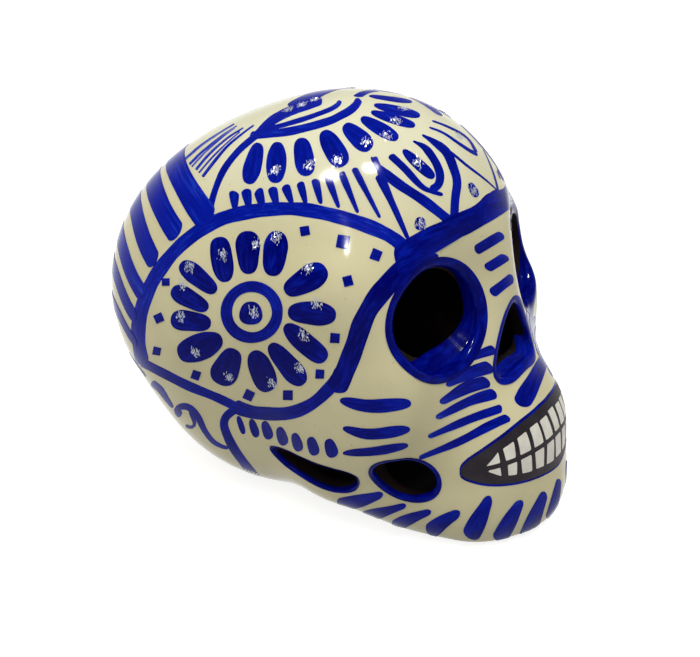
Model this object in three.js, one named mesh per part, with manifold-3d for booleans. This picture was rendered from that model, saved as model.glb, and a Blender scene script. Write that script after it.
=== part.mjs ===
// A hollow glazed ceramic skull ornament, press-moulded in three shells that are luted together.
// Millimetres, +Z up. The face looks along -Y, the skull's own right side is at -X, it stands on z = 0.
import * as THREE from 'three';
import { mergeVertices } from 'three/addons/utils/BufferGeometryUtils.js';
import Module from 'manifold-3d';

const wasm = await Module();
wasm.setup();

// The rounded masses that the outer form is blended from: full sizes, then where the centre lies.
const CRANIUM = { width: 106, length: 101.8, height: 101.8, y: 26.7, z: 59.2 };
const FOREHEAD = { width: 91.2, length: 97.8, height: 96, y: -7.8, z: 76.7 };
const SKULL_BASE = { width: 75.6, length: 79.8, height: 53.4, y: 12.3, z: 22 };
const FACE = { width: 81.1, length: 51.2, height: 82.2, y: -36, z: 37 };
const MUZZLE = { width: 54.4, length: 41.4, height: 32, y: -54.3, z: 30.2 };
const CHIN = { width: 44.6, length: 50.2, height: 36, y: -52.4, z: 9.8 };
const CHEEKBONE = { width: 16, length: 40.5, height: 42, side: 40, y: -28.6, z: 54.3 };

// The hollow round each eye, which leaves the bridge of the nose standing between the two.
const EYE_HOLLOW = { width: 36, length: 26.2, height: 43.6, side: 26, y: -62.7, z: 81.6 };

// The two rounded bars on each side: where they start and end, and how thick they are.
// The jaw bar roots in the side of the skull base, a set depth inside its widest point.
const JAW_ROOT_DEPTH = 9.9;
const JAW_ROOT_SIDE = SKULL_BASE.width / 2 - JAW_ROOT_DEPTH;
const JAW_BAR = { from: [15, -54.4, 13], to: [JAW_ROOT_SIDE, -20.1, 19.8], thickness: 25.2 };
const TEMPLE_RIDGE = { from: [35.3, -30, 82.2], to: [32.6, 5.7, 65.8], thickness: 14 };

// How far each joint between masses is smoothed.
const VAULT_BLEND = 24;
const FACE_BLEND = 18;
const MUZZLE_BLEND = 14;
const HOLLOW_BLEND = 8;

// Shell, seams and the slip film that fills them.
const WALL = 5;
const FLOOR = 6;
const LUTE_GAP = 0.3;
const BACK_SEAM_Y = 20;
const MOUTH_SEAM_Z = 31;
const MOUTH_SEAM_Y = -75;
const JAW_SEAM_SLOPE = 8;

// Soft coils pressed over the seams inside.
const COIL_WIDTH = 12;
const COIL_HEIGHT = 4;
const COIL_EDGE = 1.2;
const COIL_SINK = 2;
const JAW_COIL_SPREAD = 48;
const JAW_COIL_RADIUS = 30;
const JAW_COIL_CENTRE_Y = -34;

// Openings: each is straight as deep as its lip, then narrows by its flare all round through the wall.
// The inner ends of the eyes and the nose lie a little off centre: towards the face's middle, and up.
const LIP = 2.2;
const EYE_FLARE = 5;
const NOSE_FLARE = 4.6;
const SIDE_FLARE = 1.6;
const EYE_DRIFT = [1.2, 1.4];
const NOSE_DRIFT = [0, 2];
const EYE_WIDTH = 35.8;
const EYE_HEIGHT = 32.9;
const EYE_SPACING = 56;
const EYE_Z = 71.6;
const EYE_TURN = 20.1;
const EYE_TILT = 14;
const NOSE_WIDTH = 27.6;
const NOSE_HEIGHT = 22.4;
const NOSE_Z = 59.4;
const NOSE_TILT = 11.7;
const CHEEK_HOLE_LENGTH = 21.4;
const CHEEK_HOLE_HEIGHT = 16;
const CHEEK_HOLE_LEAN = -32;
const CHEEK_HOLE_Y = -45.5;
const CHEEK_HOLE_Z = 26.4;
const CHEEK_HOLE_TURN = 66;
const CHEEK_HOLE_TILT = -9;
const JAW_SLOT_LENGTH = 30.2;
const JAW_SLOT_HEIGHT = 10.8;
const JAW_SLOT_Y = -17.4;
const JAW_SLOT_Z = 21.3;
const JAW_SLOT_TURN = 89;
const JAW_SLOT_TILT = -10.6;
const DRAIN_WIDTH = 14;
const DRAIN_Y = 2;

// Fineness of the facets, and lengths that are only long enough to reach past the skull.
const OUTER_FACETS = 14;
const CAVITY_FACETS = 9;
const OUTLINE_POINTS = 36;
const COIL_STEPS = 44;
const COIL_SECTION_STEPS = 6;
const FAR = 400;
const PLUG_REACH = 16;
const MARCH_STEP = 1.5;

const glaze = (color) => new THREE.MeshStandardMaterial({ color, roughness: 0.18, metalness: 0 });
const bareClay = (color) => new THREE.MeshStandardMaterial({ color, roughness: 0.9, metalness: 0 });
const radians = THREE.MathUtils.degToRad;

// Distance to a rounded mass, negative inside.
function massDistance(point, mass) {
  const radii = [mass.width / 2, mass.length / 2, mass.height / 2];
  const away = [point.x - (mass.side ?? 0), point.y - mass.y, point.z - mass.z];
  const share = away.map((value, axis) => value / radii[axis]);
  const slope = share.map((value, axis) => value / radii[axis]);
  const reach = Math.hypot(...share);
  return (reach * (reach - 1)) / Math.max(Math.hypot(...slope), 1e-9);
}

// Distance to a round bar between two points, negative inside.
function barDistance(point, bar) {
  const start = new THREE.Vector3(...bar.from);
  const run = new THREE.Vector3(...bar.to).sub(start);
  const away = point.clone().sub(start);
  const along = THREE.MathUtils.clamp(away.dot(run) / run.lengthSq(), 0, 1);
  return away.addScaledVector(run, -along).length() - bar.thickness / 2;
}

function blend(a, b, width) {
  const near = Math.max(width - Math.abs(a - b), 0) / width;
  return Math.min(a, b) - (near * near * width) / 4;
}

const hollowOut = (body, hollow, width) => -blend(-body, hollow, width);

// Distance to the skull's outer skin, before it is cut flat to stand.
function skinDistance(place) {
  const point = place.clone();
  point.x = Math.abs(point.x);
  let vault = blend(massDistance(point, CRANIUM), massDistance(point, FOREHEAD), VAULT_BLEND);
  vault = blend(vault, massDistance(point, SKULL_BASE), VAULT_BLEND);
  let face = blend(massDistance(point, FACE), massDistance(point, MUZZLE), MUZZLE_BLEND);
  face = blend(face, massDistance(point, CHIN), MUZZLE_BLEND);
  face = blend(face, barDistance(point, JAW_BAR), MUZZLE_BLEND);
  face = blend(face, massDistance(point, CHEEKBONE), FACE_BLEND);
  let whole = blend(vault, face, FACE_BLEND);
  whole = blend(whole, barDistance(point, TEMPLE_RIDGE), FACE_BLEND);
  return hollowOut(whole, massDistance(point, EYE_HOLLOW), HOLLOW_BLEND);
}

const cavityDistance = (point) => Math.max(skinDistance(point) + WALL, FLOOR - point.z);

// How far a ray runs from inside a surface until it leaves it for the last time.
function exitAlong(distance, from, direction) {
  const at = (run) => distance(from.clone().addScaledVector(direction, run));
  let inside = FAR / 2;
  while (inside > MARCH_STEP && at(inside) > 0) inside -= MARCH_STEP;
  let outside = inside + MARCH_STEP;
  while (outside - inside > 1e-5) {
    const middle = (inside + outside) / 2;
    if (at(middle) > 0) outside = middle;
    else inside = middle;
  }
  return inside;
}

// Solids for cutting and joining.
function toSolid(geometry) {
  const bare = geometry.clone();
  bare.deleteAttribute('normal');
  bare.deleteAttribute('uv');
  const welded = mergeVertices(bare, 1e-4);
  const vertProperties = new Float32Array(welded.attributes.position.array);
  const triVerts = new Uint32Array(welded.index.array);
  return new wasm.Manifold(new wasm.Mesh({ numProp: 3, vertProperties, triVerts }));
}

function toMesh(name, solid, material) {
  const { vertProperties, triVerts } = solid.getMesh();
  const geometry = new THREE.BufferGeometry();
  geometry.setAttribute('position', new THREE.BufferAttribute(new Float32Array(vertProperties), 3));
  geometry.setIndex(new THREE.BufferAttribute(new Uint32Array(triVerts), 1));
  geometry.computeVertexNormals();
  const mesh = new THREE.Mesh(geometry, material);
  mesh.name = name;
  return mesh;
}

// Everything on one side of a plane, as a large block whose face lies on it.
function halfSpace(pointOnPlane, direction) {
  const block = new THREE.BoxGeometry(FAR, FAR, FAR);
  block.translate(0, 0, FAR / 2);
  block.applyQuaternion(new THREE.Quaternion().setFromUnitVectors(new THREE.Vector3(0, 0, 1), direction));
  block.translate(pointOnPlane.x, pointOnPlane.y, pointOnPlane.z);
  return toSolid(block);
}

// A ball shrunk onto a surface, seen from the middle of the skull.
const MIDDLE = new THREE.Vector3(0, (CRANIUM.y + FACE.y) / 2, (CRANIUM.z + FACE.z) / 2);
function shrinkWrap(distance, facets) {
  const ball = new THREE.IcosahedronGeometry(1, facets);
  const position = ball.attributes.position;
  for (let i = 0; i < position.count; i += 1) {
    const direction = new THREE.Vector3().fromBufferAttribute(position, i).normalize();
    const run = exitAlong(distance, MIDDLE, direction);
    const place = MIDDLE.clone().addScaledVector(direction, run);
    position.setXYZ(i, place.x, place.y, place.z);
  }
  return toSolid(ball);
}

// Rings of points joined into one closed skin, with a flat cap on the first and last ring.
function loft(rings) {
  const count = rings[0].length;
  const last = rings.length - 1;
  const middleOf = (ring) => ring.reduce((sum, p) => sum.add(p), new THREE.Vector3()).divideScalar(count);
  const points = [...rings.flat(), middleOf(rings[0]), middleOf(rings[last])];
  const startCap = rings.length * count;
  const faces = [];
  for (let i = 0; i < count; i += 1) {
    const next = (i + 1) % count;
    for (let r = 0; r < last; r += 1) {
      const [low, high] = [r * count, (r + 1) * count];
      faces.push(low + i, low + next, high + next, low + i, high + next, high + i);
    }
    faces.push(startCap, next, i);
    faces.push(startCap + 1, last * count + i, last * count + next);
  }
  const geometry = new THREE.BufferGeometry().setFromPoints(points);
  geometry.setIndex(faces);
  return toSolid(geometry);
}

// Outlines of the openings, seen from outside: first number towards the face, second number up.
function roundOutline(width, height, lean) {
  const ellipse = new THREE.EllipseCurve(0, 0, width / 2, height / 2, 0, 2 * Math.PI, false, radians(lean));
  return ellipse.getSpacedPoints(OUTLINE_POINTS).slice(0, OUTLINE_POINTS);
}

function splineOutline(width, height, shares) {
  const corners = shares.map(([across, up]) => new THREE.Vector3(across * width, up * height, 0));
  const curve = new THREE.CatmullRomCurve3(corners, true, 'centripetal');
  const points = curve.getSpacedPoints(OUTLINE_POINTS).slice(0, OUTLINE_POINTS);
  return points.map((p) => new THREE.Vector2(p.x, p.y));
}

const NOSE_HALF = [[0.18, 0.39], [0.35, 0.1], [0.48, -0.23], [0.46, -0.42], [0.3, -0.5]];
const NOSE_SHAPE = [
  [0, 0.5],
  ...NOSE_HALF.map(([across, up]) => [-across, up]),
  [0, -0.48],
  ...NOSE_HALF.toReversed(),
];
const SLOT_SHAPE = [
  [-0.5, 0.4], [-0.4, -0.18], [-0.12, -0.4], [0.22, -0.5],
  [0.42, -0.28], [0.5, 0.2], [0.42, 0.48], [0, 0.49],
];

// Where an opening sits: a place on the skin, and the way it faces.
function facing(turn, tilt) {
  const [a, e] = [radians(-turn), radians(tilt)];
  return new THREE.Vector3(Math.sin(a) * Math.cos(e), -Math.cos(a) * Math.cos(e), Math.sin(e));
}

function skinFromFront(x, z) {
  const inside = new THREE.Vector3(x, MIDDLE.y, z);
  const run = exitAlong(skinDistance, inside, new THREE.Vector3(0, -1, 0));
  return inside.add(new THREE.Vector3(0, -run, 0));
}

function skinFromSide(y, z) {
  const inside = new THREE.Vector3(0, y, z);
  const run = exitAlong(skinDistance, inside, new THREE.Vector3(-1, 0, 0));
  return inside.add(new THREE.Vector3(-run, 0, 0));
}

// A plug of an opening's shape: straight down to the lip's depth, narrowing through the wall, straight inside.
function openingPlug(outline, place, axis, flare, drift = [0, 0]) {
  const across = new THREE.Vector3(0, 0, 1).cross(axis).normalize();
  const up = axis.clone().cross(across);
  const stations = [[-PLUG_REACH, 1], [-LIP - WALL, 1], [-LIP, 0], [PLUG_REACH, 0]];
  const inner = new THREE.Vector2(...drift);
  const rings = stations.map(([along, share]) => outline.map((p) => {
    const point = p.clone().multiplyScalar(1 - (share * flare) / p.length()).addScaledVector(inner, share);
    return place.clone().addScaledVector(across, point.x).addScaledVector(up, point.y).addScaledVector(axis, along);
  }));
  return loft(rings);
}

const bothSides = (plug) => plug.add(plug.mirror([1, 0, 0]));

function drainPlug() {
  const bore = new THREE.CylinderGeometry(DRAIN_WIDTH / 2, DRAIN_WIDTH / 2, FLOOR * 4, OUTLINE_POINTS);
  bore.rotateX(Math.PI / 2);
  bore.translate(0, DRAIN_Y, 0);
  return toSolid(bore);
}

// A form of the skull that is smaller all round by a depth, cut flat below a level.
function skullForm(depth, level, facets) {
  const below = halfSpace(new THREE.Vector3(0, 0, level), new THREE.Vector3(0, 0, -1));
  return shrinkWrap((p) => skinDistance(p) + depth, facets).subtract(below);
}

function openShell() {
  const outer = skullForm(0, 0, OUTER_FACETS);
  const cavity = skullForm(WALL, FLOOR, CAVITY_FACETS);
  const eye = openingPlug(
    roundOutline(EYE_WIDTH, EYE_HEIGHT, 0),
    skinFromFront(-EYE_SPACING / 2, EYE_Z),
    facing(EYE_TURN, EYE_TILT),
    EYE_FLARE,
    EYE_DRIFT,
  );
  const nose = openingPlug(
    splineOutline(NOSE_WIDTH, NOSE_HEIGHT, NOSE_SHAPE),
    skinFromFront(0, NOSE_Z),
    facing(0, NOSE_TILT),
    NOSE_FLARE,
    NOSE_DRIFT,
  );
  const cheekHole = openingPlug(
    roundOutline(CHEEK_HOLE_LENGTH, CHEEK_HOLE_HEIGHT, CHEEK_HOLE_LEAN),
    skinFromSide(CHEEK_HOLE_Y, CHEEK_HOLE_Z),
    facing(CHEEK_HOLE_TURN, CHEEK_HOLE_TILT),
    SIDE_FLARE,
  );
  const jawSlot = openingPlug(
    splineOutline(JAW_SLOT_LENGTH, JAW_SLOT_HEIGHT, SLOT_SHAPE),
    skinFromSide(JAW_SLOT_Y, JAW_SLOT_Z),
    facing(JAW_SLOT_TURN, JAW_SLOT_TILT),
    SIDE_FLARE,
  );
  return outer
    .subtract(cavity)
    .subtract(bothSides(eye))
    .subtract(nose)
    .subtract(bothSides(cheekHole))
    .subtract(bothSides(jawSlot))
    .subtract(drainPlug());
}

// The seams: one across the skull behind the temples, one that runs back from the mouth line.
const BACKWARD = new THREE.Vector3(0, 1, 0);
const JAW_UP = new THREE.Vector3(0, Math.sin(radians(JAW_SEAM_SLOPE)), Math.cos(radians(JAW_SEAM_SLOPE)));
const BACK_SEAM = new THREE.Vector3(0, BACK_SEAM_Y, 0);
const JAW_SEAM = new THREE.Vector3(0, MOUTH_SEAM_Y, MOUTH_SEAM_Z);
const jawSeamZ = (y) => MOUTH_SEAM_Z - (y - MOUTH_SEAM_Y) * Math.tan(radians(JAW_SEAM_SLOPE));

function sideOf(seam, direction) {
  return halfSpace(seam.clone().addScaledVector(direction, LUTE_GAP / 2), direction);
}

// A coil pressed flat over a seam: rounded on the open side, and trimmed a slip film away from the wall.
const coilRoom = skullForm(WALL + LUTE_GAP, FLOOR + LUTE_GAP, CAVITY_FACETS);
function coil(sections, closed) {
  const rings = sections.map(({ from, direction, along, swell }) => {
    const wallSide = [];
    const openSide = [];
    for (let s = 0; s <= COIL_SECTION_STEPS; s += 1) {
      const share = (2 * s) / COIL_SECTION_STEPS - 1;
      const start = from.clone().addScaledVector(along, (share * COIL_WIDTH) / 2);
      const seat = exitAlong(cavityDistance, start, direction);
      const height = COIL_EDGE + (COIL_HEIGHT - COIL_EDGE) * (1 - share * share) * swell;
      wallSide.push(start.clone().addScaledVector(direction, seat + COIL_SINK));
      openSide.push(start.clone().addScaledVector(direction, seat - height));
    }
    return [...wallSide, ...openSide.toReversed()];
  });
  return (closed ? closedLoft(rings) : loft(rings)).intersect(coilRoom);
}

// Rings joined end to end, as a hoop.
function closedLoft(rings) {
  const count = rings[0].length;
  const faces = [];
  for (let r = 0; r < rings.length; r += 1) {
    const [low, high] = [r * count, ((r + 1) % rings.length) * count];
    for (let i = 0; i < count; i += 1) {
      const next = (i + 1) % count;
      faces.push(low + i, low + next, high + next, low + i, high + next, high + i);
    }
  }
  const geometry = new THREE.BufferGeometry().setFromPoints(rings.flat());
  geometry.setIndex(faces);
  return toSolid(geometry);
}

function backSeamCoil() {
  const sections = [];
  for (let i = 0; i < COIL_STEPS; i += 1) {
    const angle = (2 * Math.PI * i) / COIL_STEPS;
    const direction = new THREE.Vector3(-Math.sin(angle), 0, Math.cos(angle));
    sections.push({ from: new THREE.Vector3(0, BACK_SEAM_Y, CRANIUM.z), direction, along: BACKWARD, swell: 1 });
  }
  return coil(sections, true);
}

function jawSeamCoil() {
  const sections = [];
  const steps = COIL_STEPS / 2;
  const from = new THREE.Vector3(0, JAW_COIL_CENTRE_Y, jawSeamZ(JAW_COIL_CENTRE_Y));
  for (let i = 0; i <= steps; i += 1) {
    const share = 1 - (2 * i) / steps;
    const turn = (share * JAW_COIL_SPREAD) / 2 / JAW_COIL_RADIUS;
    const level = new THREE.Vector3(Math.sin(turn), -Math.cos(turn), 0);
    const direction = level.addScaledVector(JAW_UP, -level.dot(JAW_UP)).normalize();
    sections.push({ from, direction, along: JAW_UP, swell: Math.sqrt(1 - share ** 4) });
  }
  return coil(sections, false);
}

const shell = openShell();
const front = shell.intersect(sideOf(BACK_SEAM, BACKWARD.clone().negate()));
const skull = new THREE.Group();
skull.add(
  toMesh('face_moulding', front.intersect(sideOf(JAW_SEAM, JAW_UP)), glaze('#ccc49b')),
  toMesh('jaw_moulding', front.intersect(sideOf(JAW_SEAM, JAW_UP.clone().negate())), glaze('#c6bd94')),
  toMesh('back_moulding', shell.intersect(sideOf(BACK_SEAM, BACKWARD)), glaze('#d1c9a2')),
  toMesh('back_seam_coil', backSeamCoil(), bareClay('#8d6a4a')),
  toMesh('jaw_seam_coil', jawSeamCoil(), bareClay('#8d6a4a')),
);

// The origin lies under the middle of the whole skull.
const box = new THREE.Box3().setFromObject(skull);
const centre = box.getCenter(new THREE.Vector3());
skull.position.set(-centre.x, -centre.y, -box.min.z);

export default skull;
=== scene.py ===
import math

import bpy
import numpy as np
from mathutils import Matrix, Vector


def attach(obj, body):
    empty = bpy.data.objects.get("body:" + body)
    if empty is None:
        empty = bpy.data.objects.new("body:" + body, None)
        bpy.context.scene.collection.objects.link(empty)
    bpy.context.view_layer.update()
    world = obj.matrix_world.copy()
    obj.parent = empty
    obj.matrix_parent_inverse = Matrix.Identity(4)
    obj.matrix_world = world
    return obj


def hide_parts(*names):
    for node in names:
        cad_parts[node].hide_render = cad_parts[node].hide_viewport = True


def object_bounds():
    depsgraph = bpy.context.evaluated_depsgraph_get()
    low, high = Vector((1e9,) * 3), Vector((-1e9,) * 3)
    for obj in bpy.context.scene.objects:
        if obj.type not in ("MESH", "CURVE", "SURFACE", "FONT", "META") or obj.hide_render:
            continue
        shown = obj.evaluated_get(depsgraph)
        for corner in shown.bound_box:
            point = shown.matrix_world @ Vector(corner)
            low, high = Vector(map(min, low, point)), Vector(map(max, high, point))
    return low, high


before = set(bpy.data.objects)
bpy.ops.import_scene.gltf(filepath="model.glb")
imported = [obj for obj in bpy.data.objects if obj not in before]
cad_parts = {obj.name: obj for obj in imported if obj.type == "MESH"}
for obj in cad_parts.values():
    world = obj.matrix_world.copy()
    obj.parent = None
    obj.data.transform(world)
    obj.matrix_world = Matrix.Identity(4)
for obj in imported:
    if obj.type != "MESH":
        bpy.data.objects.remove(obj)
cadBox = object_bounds()
chance = np.random.default_rng(1107)
mm = 0.001

# The picture's viewpoint. Everything that is placed by a pixel goes through it.
photoView = {
    "width": 700, "height": 657,
    "azimuth": -58.0, "elevation": 22.93, "roll": -0.479,  # degrees
    "distance": 323.1,  # mm from the target
    "focal": 1012.3,  # pixels
    "target": (0, -4.7, 55),  # mm
    "offset": (2.42, -18.46),  # pixels, right and down
    "sensor": 36,  # mm
    "nearest": 0.01,  # metres
}


def viewAxes(view):
    a, e, turn = (math.radians(view[key]) for key in ("azimuth", "elevation", "roll"))
    back = np.array([math.sin(a) * math.cos(e), -math.cos(a) * math.cos(e), math.sin(e)])
    level = np.array([math.cos(a), math.sin(a), 0])
    upright = np.cross(back, level)
    right = level * math.cos(turn) + upright * math.sin(turn)
    up = upright * math.cos(turn) - level * math.sin(turn)
    return right, up, back


def newObject(name, data):
    thing = bpy.data.objects.new(name, data)
    bpy.context.scene.collection.objects.link(thing)
    return thing


def placeBy(thing, axes, place):  # axes across, up and back; place in mm
    turn = np.eye(4)
    turn[:3, :3] = np.stack(axes, 1)
    turn[:3, 3] = place * mm
    thing.matrix_world = Matrix(turn.tolist())


viewRight, viewUp, viewBack = viewAxes(photoView)
viewEye = np.array(photoView["target"]) + viewBack * photoView["distance"]


def makeCamera(view):
    data = bpy.data.cameras.new("photo_camera")
    data.sensor_fit = "HORIZONTAL"
    data.sensor_width = view["sensor"]
    data.lens = view["focal"] / view["width"] * view["sensor"]
    data.shift_x = -view["offset"][0] / view["width"]
    data.shift_y = view["offset"][1] / view["width"]
    data.clip_start = view["nearest"]
    camera = newObject("photo_camera", data)
    placeBy(camera, (viewRight, viewUp, viewBack), viewEye)
    bpy.context.scene.camera = camera


makeCamera(photoView)
print("camera placed")


# The moulded form, in mm: rounded masses (full size, centre), bars, and how far each joint is smoothed.
skullForm = {
    "shiftY": -0.15,  # the masses' middle to the frame's origin
    "cranium": ((106, 101.8, 101.8), (0, 26.7, 59.2)),
    "forehead": ((91.2, 97.8, 96), (0, -7.8, 76.7)),
    "base": ((75.6, 79.8, 53.4), (0, 12.3, 22)),
    "face": ((81.1, 51.2, 82.2), (0, -36, 37)),
    "muzzle": ((54.4, 41.4, 32), (0, -54.3, 30.2)),
    "chin": ((44.6, 50.2, 36), (0, -52.4, 9.8)),
    "cheekbone": ((16, 40.5, 42), (40, -28.6, 54.3)),
    "eyeHollow": ((36, 26.2, 43.6), (26, -62.7, 81.6)),
    "jawBar": ((15, -54.4, 13), (27.9, -20.1, 19.8), 25.2),
    "templeRidge": ((35.3, -30, 82.2), (32.6, 5.7, 65.8), 14),
    "vaultBlend": 24, "faceBlend": 18, "muzzleBlend": 14, "hollowBlend": 8,
    "wall": 5, "floor": 6, "footRound": 3, "innerRound": 2,
    "glazeDepth": 0.3, "shadeFrom": 1.5, "footDepth": 0.35,  # where glaze, the near-black inside (painted shade of the hollow) and bare foot meet
    "step": 1.0, "room": 2.5,  # size of the skin's facets, and room round the solids' box
}

# Openings, in mm and degrees: full size, where the axis meets the skin from the front (x, z) or side (y, z),
# how it turns and tilts, how far the lip and inner end stand in, and where and how deep the paint goes.
# Past the blue paint, a hole's wall shows the near-black painted shade of the hollow.
openingForm = {
    "lip": 1.6, "reach": 16,  # depth before the wall narrows, and how far it is cut either way
    "near": 30, "far": 50.0, "points": 64,  # how far off it is felt, and the gap given beyond that
    "eye": {"size": (34.6, 32.4), "front": (-27.4, 71.6), "turn": 20.1, "tilt": 14,
            "margin": 0.9, "inset": 2.1, "flare": 5, "drift": (1.2, 1.8), "lipRound": 2.4,
            "paint": (0.3, 7.8), "paintWays": [(0.7, 0), (0, -1)], "load": 0.98},
    "nose": {"size": (27.6, 22.4), "front": (0, 59.4), "turn": 0, "tilt": 11.7,
             "margin": 0.6, "inset": 1.7, "flare": 1.6, "drift": (0, 4.2), "lipRound": 1.8,
             "paint": (1, 5.6), "paintWays": [(0.42, -0.9)], "load": 0.84},
    "cheekHole": {"size": (21.4, 16), "side": (-45.5, 26.4), "turn": 66, "tilt": -9, "lean": -32,
                  "margin": 0.2, "inset": 1.3, "flare": 2.6, "drift": (2.5, -2), "lipRound": 1.4,
                  "paint": (1.2, 2.6), "paintWays": [(1, -0.3)], "load": 0.96},
    "jawSlot": {"size": (30.2, 10.8), "side": (-17.4, 21.3), "turn": 89, "tilt": -10.6,
                "margin": 0.2, "inset": 0.7, "flare": 2.8, "drift": (0, -1.8), "lipRound": 1.4,
                "paint": (1.2, 3), "paintWays": [(1, 0)], "load": 0.96},
    "drain": {"width": 14, "y": 2, "round": 1.5},
    "noseHalf": [(0.18, 0.39), (0.35, 0.1), (0.48, -0.23), (0.46, -0.42), (0.3, -0.5)],
    "slotShape": [(-0.5, 0.4), (-0.4, -0.18), (-0.12, -0.4), (0.22, -0.5),
                  (0.42, -0.28), (0.5, 0.2), (0.42, 0.48), (0, 0.49)],
}


def lengthOf(v):
    return np.sqrt((v * v).sum(-1))


def unitOf(v):
    return v / np.maximum(lengthOf(v), 1e-9)[..., None]


def massGap(p, mass):
    radii = np.array(mass[0]) / 2
    share = (p - np.array(mass[1])) / radii
    reach = lengthOf(share)
    return reach * (reach - 1) / np.maximum(lengthOf(share / radii), 1e-9)


def barGap(p, bar):
    start, end = np.array(bar[0]), np.array(bar[1])
    run = end - start
    along = np.clip(((p - start) @ run) / (run @ run), 0, 1)
    return lengthOf(p - start - along[:, None] * run) - bar[2] / 2


def blendIn(a, b, width):  # smooth union
    near = np.maximum(width - np.abs(a - b), 0) / width
    return np.minimum(a, b) - near * near * width / 4


def carve(a, b, width):  # smooth intersection
    return -blendIn(-a, -b, width)


def skinGap(place):  # distance to the outer skin, before it is cut flat and pierced
    s = skullForm
    p = np.stack([np.abs(place[:, 0]), place[:, 1] - s["shiftY"], place[:, 2]], -1)
    vault, face = massGap(p, s["cranium"]), massGap(p, s["face"])
    for name in ("forehead", "base"):
        vault = blendIn(vault, massGap(p, s[name]), s["vaultBlend"])
    for name in ("muzzle", "chin"):
        face = blendIn(face, massGap(p, s[name]), s["muzzleBlend"])
    face = blendIn(face, barGap(p, s["jawBar"]), s["muzzleBlend"])
    face = blendIn(face, massGap(p, s["cheekbone"]), s["faceBlend"])
    whole = blendIn(vault, face, s["faceBlend"])
    whole = blendIn(whole, barGap(p, s["templeRidge"]), s["faceBlend"])
    return carve(whole, -massGap(p, s["eyeHollow"]), s["hollowBlend"])


def smoothCurve(points, count, closed=False):  # evenly spaced points on a spline through the given ones
    p = np.array(points, float)
    if len(p) == 2:
        return p[0] + (p[1] - p[0]) * np.linspace(0, 1, count)[:, None]
    if closed:
        p = np.concatenate([p[-1:], p, p[:2]])
    else:
        p = np.concatenate([[2 * p[0] - p[1]], p, [2 * p[-1] - p[-2]]])
    t = np.linspace(0, 1, 24, endpoint=False)[:, None]
    runs = []
    for a, b, c, d in zip(p, p[1:], p[2:], p[3:]):
        runs.append(((2 * b) + (c - a) * t + (2 * a - 5 * b + 4 * c - d) * t ** 2
                     + (3 * b - a - 3 * c + d) * t ** 3) / 2)
    dense = np.concatenate(runs + [p[-2:-1]])
    length = np.concatenate([[0], np.cumsum(lengthOf(np.diff(dense, axis=0)))])
    spots = np.linspace(0, length[-1], count, endpoint=not closed)
    return np.stack([np.interp(spots, length, dense[:, i]) for i in range(p.shape[1])], -1)


rayForm = {
    "reach": 120.0, "halvings": 40,  # from inside: farther than any skin, mm
    "start": 100, "steps": 75, "pace": 0.7, "stride": (-2, 4),  # from the picture: mm before the target
}


def exitAlong(start, direction):  # where a ray from inside leaves the skin
    low, high = np.zeros(len(start)), np.full(len(start), rayForm["reach"])
    for _ in range(rayForm["halvings"]):
        middle = (low + high) / 2
        inside = skinGap(start + direction * middle[:, None]) < 0
        low, high = np.where(inside, middle, low), np.where(inside, high, middle)
    return start + direction * low[:, None]


def placeOpening(name):
    form, spec = openingForm, openingForm[name]
    turn, tilt = math.radians(-spec["turn"]), math.radians(spec["tilt"])
    axis = np.array([math.sin(turn) * math.cos(tilt), -math.cos(turn) * math.cos(tilt), math.sin(tilt)])
    across = np.cross([0, 0, 1], axis)
    across = across / np.linalg.norm(across)
    if "front" in spec:
        start, way = (spec["front"][0], skullForm["face"][1][1], spec["front"][1]), (0, -1, 0)
    else:
        start, way = (0, spec["side"][0] + skullForm["shiftY"], spec["side"][1]), (-1, 0, 0)
    place = exitAlong(np.array([start], float), np.array([way], float))[0]
    if name == "nose":
        half = form["noseHalf"]
        shape = [(0, 0.5)] + [(-a, u) for a, u in half] + [(0, -0.48)] + half[::-1]
    elif name == "jawSlot":
        shape = form["slotShape"]
    else:
        angles = np.linspace(0, 2 * math.pi, 24, endpoint=False)
        shape = [(math.cos(a) / 2, math.sin(a) / 2) for a in angles]
    lean = math.radians(spec.get("lean", 0))
    outline = smoothCurve(np.array(shape) * spec["size"], form["points"], closed=True)
    outline = outline @ np.array([[math.cos(lean), math.sin(lean)], [-math.sin(lean), math.cos(lean)]])
    return dict(spec, place=place, axis=axis, across=across, up=np.cross(axis, across), outline=outline,
                drift=np.array(spec["drift"]), paired=name != "nose")


openings = {name: placeOpening(name) for name in ("eye", "nose", "cheekHole", "jawSlot")}


def outlineGap(q, outline):  # signed distance to a closed outline in its plane
    nearest = np.full(len(q), 1e9)
    inside = np.zeros(len(q), bool)
    for a, b in zip(outline, np.roll(outline, -1, 0)):
        run, away = b - a, q - a
        along = np.clip((away @ run) / (run @ run), 0, 1)
        nearest = np.minimum(nearest, ((away - along[:, None] * run) ** 2).sum(-1))
        crosses = (a[1] > q[:, 1]) != (b[1] > q[:, 1])
        slope = run[0] / run[1] if run[1] else 0
        inside ^= crosses & (q[:, 0] < a[0] + (q[:, 1] - a[1]) * slope)
    return np.where(inside, -1, 1) * np.sqrt(nearest)


def deepening(depth):  # 0 as deep as the lip, 1 where the wall ends
    return np.clip((depth - openingForm["lip"]) / skullForm["wall"], 0, 1)


def narrowing(hole, share):  # how far the wall stands in from the outline
    return hole["inset"] + share * (hole["flare"] - hole["inset"])


def holeGap(p, hole):  # negative inside the opening
    q = p.copy()
    if hole["paired"]:
        q[:, 0] = -np.abs(q[:, 0])
    away = q - hole["place"]
    gap = np.full(len(p), openingForm["far"])
    near = (away * away).sum(-1) < openingForm["near"] ** 2
    away = away[near]
    depth = -(away @ hole["axis"])
    share = deepening(depth)
    flat = np.stack([away @ hole["across"], away @ hole["up"]], -1) - share[:, None] * hole["drift"]
    side = outlineGap(flat, hole["outline"]) + narrowing(hole, share)
    gap[near] = np.maximum(side, np.abs(depth) - openingForm["reach"])
    return gap


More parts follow.
